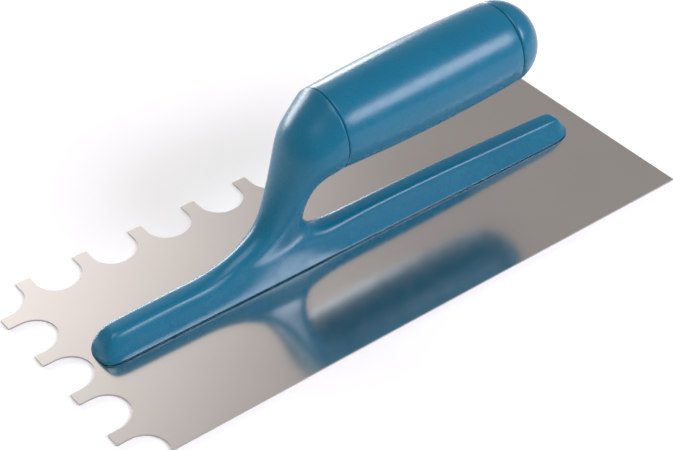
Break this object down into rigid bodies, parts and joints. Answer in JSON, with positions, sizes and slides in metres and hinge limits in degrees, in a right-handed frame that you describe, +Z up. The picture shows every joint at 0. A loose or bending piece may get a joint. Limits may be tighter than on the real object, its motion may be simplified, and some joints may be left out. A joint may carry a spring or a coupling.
{
  "type": "notched trowel",
  "caption": "Hand trowel for spreading tile adhesive: flat steel blade with round notches on one long and one short edge, and a plastic handle with an open finger gap.",
  "frame": {"origin": "centre of the blade's underside", "axes": "+X along the blade towards the plain short edge and the grip's free end, +Y towards the notched long edge, +Z up from the blade to the grip"},
  "size_m": [0.28, 0.12, 0.0829],
  "materials": {
    "stainless_steel": "polished",
    "blue_plastic": "semi-gloss",
    "zinc_plated_steel": "satin",
    "brass": "satin"
  },
  "bodies": {
    "root": {"blade": "stainless_steel", "backing_strip": "zinc_plated_steel", "blade_rivets": "stainless_steel", "handle_frame": "blue_plastic", "grip_sleeve": "blue_plastic", "tang_insert": "brass", "grip_washer": "zinc_plated_steel", "grip_screw": "zinc_plated_steel", "end_cap": "blue_plastic"}
  },
  "joints": []
}
